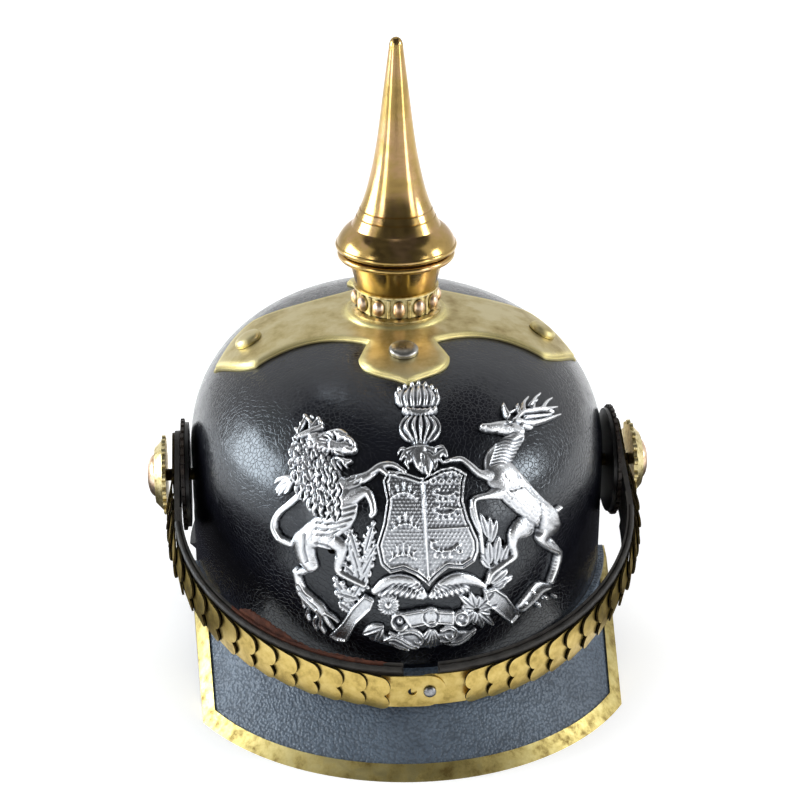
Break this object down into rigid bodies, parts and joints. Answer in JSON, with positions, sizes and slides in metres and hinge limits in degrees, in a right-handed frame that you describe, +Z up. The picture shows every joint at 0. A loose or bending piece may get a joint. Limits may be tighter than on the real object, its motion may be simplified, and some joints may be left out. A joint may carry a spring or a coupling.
{
  "type": "pickelhaube",
  "caption": "Spiked leather parade helmet with a square front visor, a heraldic relief plate, a four-armed spike base, side rosettes and hinged chinscales.",
  "frame": {"origin": "on the surface the helmet rests on, midway between its front and rear visor edges and under the spike's axis", "axes": "+Z up along the spike, the front visor and relief plate towards -Y, +X towards the wearer's left side"},
  "size_m": [0.2208, 0.292, 0.2647],
  "materials": {
    "lacquered_leather": "glossy black lacquer with fine crackle",
    "grained_leather": "black pebble grain, low gloss",
    "trim_brass": "yellow brass, worn",
    "gilt_brass": "old gilt, polished",
    "matte_brass": "matte olive gold with bright edges",
    "scale_brass": "polished yellow brass",
    "nut_brass": "plain, tarnished",
    "silvered_metal": "silvered relief with dark recesses",
    "dark_metal": "worn dark paint",
    "black_enamel": "black enamel",
    "strap_leather": "black, semi-gloss",
    "suede": "brown suede",
    "washer_leather": "dark brown",
    "liner_leather": "tan"
  },
  "bodies": {
    "helmet": {"cockade_backing_left": "black_enamel", "cockade_backing_right": "black_enamel", "cockade_left": "dark_metal", "cockade_right": "dark_metal", "cross_base": "matte_brass", "cross_nuts": "nut_brass", "cross_studs": "gilt_brass", "front_plate": "silvered_metal", "front_visor": "grained_leather", "front_visor_trim": "trim_brass", "liner_fingers": "liner_leather", "pearl_ring": "gilt_brass", "plate_nuts": "nut_brass", "rear_spine": "gilt_brass", "rear_visor": "lacquered_leather", "rosette_left": "gilt_brass", "rosette_nut_left": "nut_brass", "rosette_nut_right": "nut_brass", "rosette_right": "gilt_brass", "skull_shell": "lacquered_leather", "spike_neck": "gilt_brass", "spine_rivets": "gilt_brass", "sweatband": "liner_leather"},
    "chinscales": {"strap_left": "strap_leather", "strap_right": "strap_leather", "strap_lining_left": "suede", "strap_lining_right": "suede", "scales_left": "scale_brass", "scales_right": "scale_brass", "end_plate_left": "scale_brass", "end_plate_right": "scale_brass", "chin_button": "silvered_metal"},
    "washer": {"spike_washer": "washer_leather"},
    "spike": {"spike": "gilt_brass"}
  },
  "joints": [
    {"name": "chinscale_hinge", "type": "hinge", "parent": "helmet", "child": "chinscales", "pos_m": [0, -0.017, 0.076], "axis": [-1, 0, 0], "range_deg": [0, 90]},
    {"name": "washer_lift", "type": "slide", "parent": "helmet", "child": "washer", "axis": [0, 0, 1], "range_m": [0, 0.0135]},
    {"name": "spike_turn", "type": "hinge", "parent": "washer", "child": "spike", "pos_m": [0, 0, 0.1718], "axis": [0, 0, 1], "range_deg": [0, 3240]}
  ],
  "couplings": [
    {"joint": "washer_lift", "follows": "spike_turn", "m_per_rad": 0.00023873}
  ]
}
